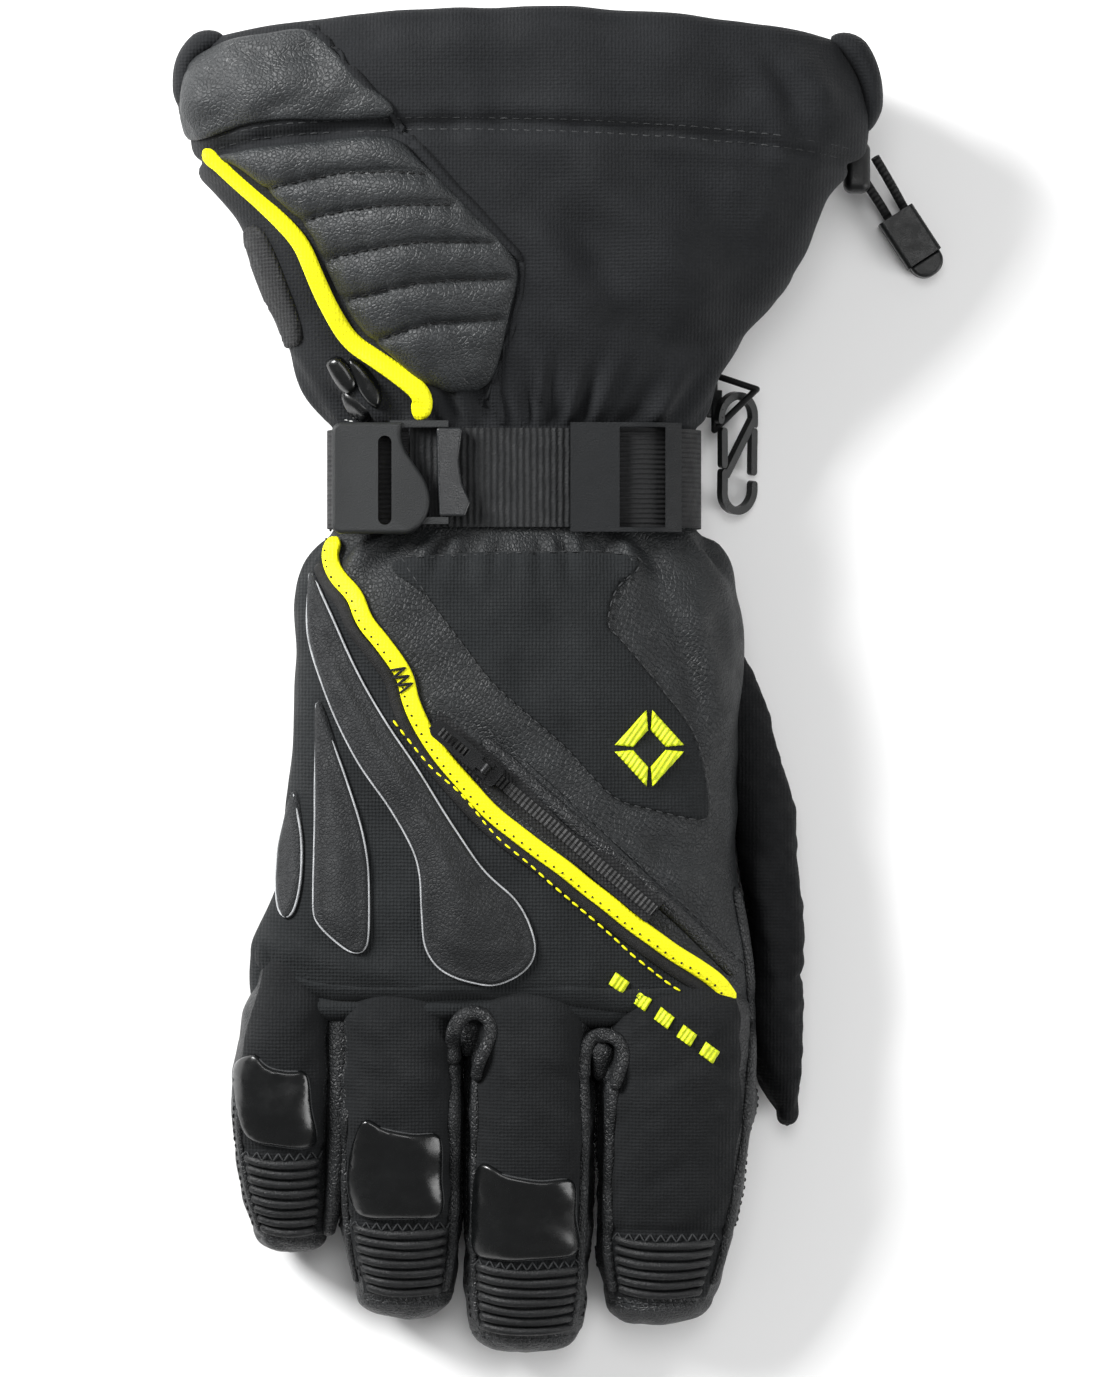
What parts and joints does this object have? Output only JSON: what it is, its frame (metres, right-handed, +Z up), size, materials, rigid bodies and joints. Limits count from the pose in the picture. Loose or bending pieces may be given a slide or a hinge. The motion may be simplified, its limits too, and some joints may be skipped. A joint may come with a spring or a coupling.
{
  "type": "insulated gauntlet glove",
  "caption": "Right-hand insulated gauntlet glove with padded back, flared cuff, wrist strap and buckle, pocket zip, swivelling hook on a ring, and a draw cord with lock at the hem.",
  "frame": {"origin": "on the supporting surface under the middle of the palm, with the glove lying palm down", "axes": "+Z up out of the back of the hand, +Y from the fingers towards the cuff, +X towards the thumb's side"},
  "size_m": [0.1933, 0.3386, 0.0631],
  "materials": {
    "fabric_smooth": "matt woven shell",
    "fabric_hand": "matt woven shell",
    "leather_dark": "grained, slightly waxy",
    "leather_palm": "grained",
    "lining": "brushed fleece",
    "insulation": "loose synthetic wadding",
    "pad": "matt, moulded",
    "gloss_patch": "glossy embossed film",
    "rib": "matt ribbed",
    "piping_yellow": "fluorescent yellow coated tape",
    "webbing": "ribbed webbing",
    "cord": "braided cord",
    "plastic": "fine texture",
    "plastic_gloss": "smooth",
    "wire": "black coated wire",
    "zip_metal": "black coated",
    "zip_tape": "woven tape"
  },
  "bodies": {
    "glove": {"back_leather_panel": "leather_dark", "buckle_frame": "plastic", "buckle_pin": "plastic", "cord_lock_body": "plastic_gloss", "cord_lock_spring": "plastic_gloss", "cord_lock_tab": "webbing", "cord_pull_housing": "plastic_gloss", "cord_pull_nose": "plastic_gloss", "cuff_hem": "fabric_smooth", "cuff_leather_panel": "leather_dark", "cuff_lining": "lining", "cuff_piping": "piping_yellow", "cuff_shell": "fabric_smooth", "draw_cord_loop": "cord", "hand_insulation": "insulation", "hand_lining": "lining", "hand_piping": "piping_yellow", "hand_shell": "fabric_hand", "hem_draw_cord": "cord", "knuckle_pad_large": "pad", "knuckle_pad_middle": "pad", "knuckle_pad_small": "pad", "palm_leather": "leather_palm", "pocket_zip_tape": "zip_tape", "pocket_zip_teeth": "zip_tape", "ring_tab": "webbing", "side_label": "webbing", "strap_adjuster_loop": "plastic", "wrist_elastic": "webbing", "wrist_rubber_badge": "gloss_patch", "wrist_webbing": "webbing"},
    "finger_little": {"finger_little_lining": "lining", "finger_little_patch": "gloss_patch", "finger_little_ribs": "rib", "finger_little_shell": "fabric_hand"},
    "finger_ring": {"finger_ring_lining": "lining", "finger_ring_patch": "gloss_patch", "finger_ring_ribs": "rib", "finger_ring_shell": "fabric_hand"},
    "finger_middle": {"finger_middle_lining": "lining", "finger_middle_patch": "gloss_patch", "finger_middle_ribs": "rib", "finger_middle_shell": "fabric_hand"},
    "finger_index": {"finger_index_lining": "lining", "finger_index_ribs": "rib", "finger_index_shell": "fabric_hand"},
    "thumb": {"thumb_shell": "fabric_hand", "thumb_lining": "lining"},
    "buckle_lever": {"buckle_lever": "plastic"},
    "pocket_zip_slider": {"pocket_zip_slider": "zip_metal"},
    "pocket_zip_pull": {"pocket_zip_pull": "zip_metal"},
    "hanging_ring": {"hanging_ring": "wire"},
    "hook": {"hook": "plastic_gloss"},
    "hook_gate_upper": {"hook_gate_upper": "plastic_gloss"},
    "hook_gate_lower": {"hook_gate_lower": "plastic_gloss"},
    "cord_lock_button": {"cord_lock_button": "plastic_gloss"}
  },
  "joints": [
    {"name": "finger_little_curl", "type": "hinge", "parent": "glove", "child": "finger_little", "pos_m": [-0.054, -0.0435, 0.018], "axis": [1, 0, 0], "range_deg": [0, 50]},
    {"name": "finger_ring_curl", "type": "hinge", "parent": "glove", "child": "finger_ring", "pos_m": [-0.0256, -0.0435, 0.018], "axis": [1, 0, 0], "range_deg": [0, 50]},
    {"name": "finger_middle_curl", "type": "hinge", "parent": "glove", "child": "finger_middle", "pos_m": [0.0065, -0.0435, 0.018], "axis": [1, 0, 0], "range_deg": [0, 50]},
    {"name": "finger_index_curl", "type": "hinge", "parent": "glove", "child": "finger_index", "pos_m": [0.0432, -0.0435, 0.018], "axis": [1, 0, 0], "range_deg": [0, 50]},
    {"name": "thumb_spread", "type": "hinge", "parent": "glove", "child": "thumb", "pos_m": [0.054, 0.04, 0.0145], "axis": [0, 0, 1], "range_deg": [0, 28]},
    {"name": "buckle_lever_lift", "type": "hinge", "parent": "glove", "child": "buckle_lever", "pos_m": [-0.0156, 0.0907, 0.0452], "axis": [0, -1, 0], "range_deg": [0, 60]},
    {"name": "pocket_zip_slide", "type": "slide", "parent": "glove", "child": "pocket_zip_slider", "axis": [0.7641, -0.6451, 0], "range_m": [0, 0.045]},
    {"name": "pocket_zip_pull_swing", "type": "hinge", "parent": "pocket_zip_slider", "child": "pocket_zip_pull", "pos_m": [-0.00475, 0.01589, 0.052], "axis": [0.6451, 0.7641, 0], "range_deg": [0, 170]},
    {"name": "hanging_ring_swing", "type": "hinge", "parent": "glove", "child": "hanging_ring", "pos_m": [0.054, 0.1092, 0.008], "axis": [0, 1, 0], "range_deg": [0, 90]},
    {"name": "hook_swing", "type": "hinge", "parent": "hanging_ring", "child": "hook", "pos_m": [0.05887, 0.10768, 0.0093], "axis": [0.7078, 0.6805, 0.1897], "range_deg": [-20, 20]},
    {"name": "hook_gate_upper_press", "type": "hinge", "parent": "hook", "child": "hook_gate_upper", "pos_m": [0.05611, 0.09408, 0.00949], "axis": [-0.6428, 0.1198, -0.7566], "range_deg": [0, 12], "stiffness_Nm_per_rad": 0.05, "springref_deg": -5.73},
    {"name": "hook_gate_lower_press", "type": "hinge", "parent": "hook", "child": "hook_gate_lower", "pos_m": [0.064, 0.10272, 0.00416], "axis": [-0.6428, 0.1198, -0.7566], "range_deg": [0, 12], "stiffness_Nm_per_rad": 0.05, "springref_deg": -5.73},
    {"name": "cord_lock_press", "type": "slide", "parent": "glove", "child": "cord_lock_button", "axis": [0, -1, 0], "range_m": [0, 0.0025], "stiffness_N_per_m": 800, "springref_m": -0.0015, "deforming": ["cord_lock_spring"]}
  ]
}
